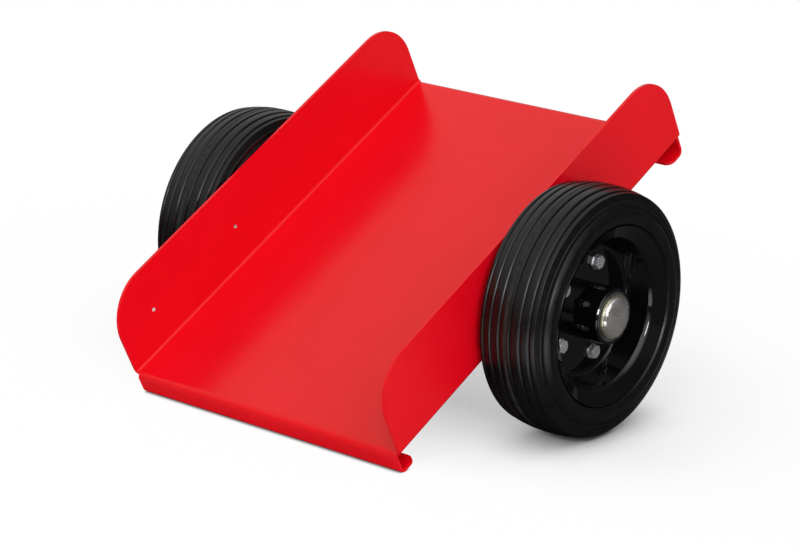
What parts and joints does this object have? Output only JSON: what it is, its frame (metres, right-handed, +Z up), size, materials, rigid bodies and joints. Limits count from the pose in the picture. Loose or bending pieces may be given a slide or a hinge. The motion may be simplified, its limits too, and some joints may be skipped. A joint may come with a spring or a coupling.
{
  "type": "beam cart",
  "caption": "Low wheeled cart: a folded red steel tray with upright side walls and end lips on an axle between solid rubber wheels, for moving beams and boards.",
  "frame": {"origin": "on the floor, under the middle of the cart's length and width as it stands on its wheels and near lip", "axes": "+X along the cart from the lip on the floor to the raised lip, +Y along the axle to the left, +Z up"},
  "size_m": [0.3792, 0.4194, 0.2558],
  "materials": {
    "red_powder_coat": "satin",
    "axle_steel": "drawn bar",
    "zinc_plate": "bright zinc",
    "yellow_zinc": "yellow passivated zinc",
    "chrome_plate": "polished",
    "black_enamel": "gloss",
    "tyre_rubber": "satin",
    "cage_plastic": "moulded",
    "roller_steel": "ground"
  },
  "bodies": {
    "cart": {"tray": "red_powder_coat", "axle": "axle_steel", "axle_welds": "red_powder_coat", "thrust_washer_left": "zinc_plate", "star_washer_left": "yellow_zinc", "axle_cap_left": "chrome_plate", "thrust_washer_right": "zinc_plate", "star_washer_right": "yellow_zinc", "axle_cap_right": "chrome_plate"},
    "wheel_left": {"tyre_left": "tyre_rubber", "outer_rim_left": "black_enamel", "inner_rim_left": "black_enamel", "hub_left": "black_enamel", "hub_weld_left": "black_enamel", "outer_bearing_ring_left": "zinc_plate", "inner_bearing_ring_left": "zinc_plate", "rim_bolts_left": "zinc_plate", "rim_nuts_left": "zinc_plate", "bolt_washers_left": "zinc_plate"},
    "cage_left": {"roller_cage_left": "cage_plastic", "bearing_rollers_left": "roller_steel"},
    "wheel_right": {"tyre_right": "tyre_rubber", "outer_rim_right": "black_enamel", "inner_rim_right": "black_enamel", "hub_right": "black_enamel", "hub_weld_right": "black_enamel", "outer_bearing_ring_right": "zinc_plate", "inner_bearing_ring_right": "zinc_plate", "rim_bolts_right": "zinc_plate", "rim_nuts_right": "zinc_plate", "bolt_washers_right": "zinc_plate"},
    "cage_right": {"roller_cage_right": "cage_plastic", "bearing_rollers_right": "roller_steel"}
  },
  "joints": [
    {"name": "wheel_left_spin", "type": "hinge", "parent": "cart", "child": "wheel_left", "pos_m": [0.01155, 0.1713, 0.1], "axis": [0, 1, 0], "continuous": true},
    {"name": "cage_left_turn", "type": "hinge", "parent": "cart", "child": "cage_left", "pos_m": [0.01155, 0.1713, 0.1], "axis": [0, 1, 0], "continuous": true},
    {"name": "wheel_right_spin", "type": "hinge", "parent": "cart", "child": "wheel_right", "pos_m": [0.01155, -0.1713, 0.1], "axis": [0, 1, 0], "continuous": true},
    {"name": "cage_right_turn", "type": "hinge", "parent": "cart", "child": "cage_right", "pos_m": [0.01155, -0.1713, 0.1], "axis": [0, 1, 0], "continuous": true}
  ],
  "couplings": [
    {"joint": "cage_left_turn", "follows": "wheel_left_spin", "ratio": 0.64286},
    {"joint": "cage_right_turn", "follows": "wheel_right_spin", "ratio": 0.64286}
  ]
}
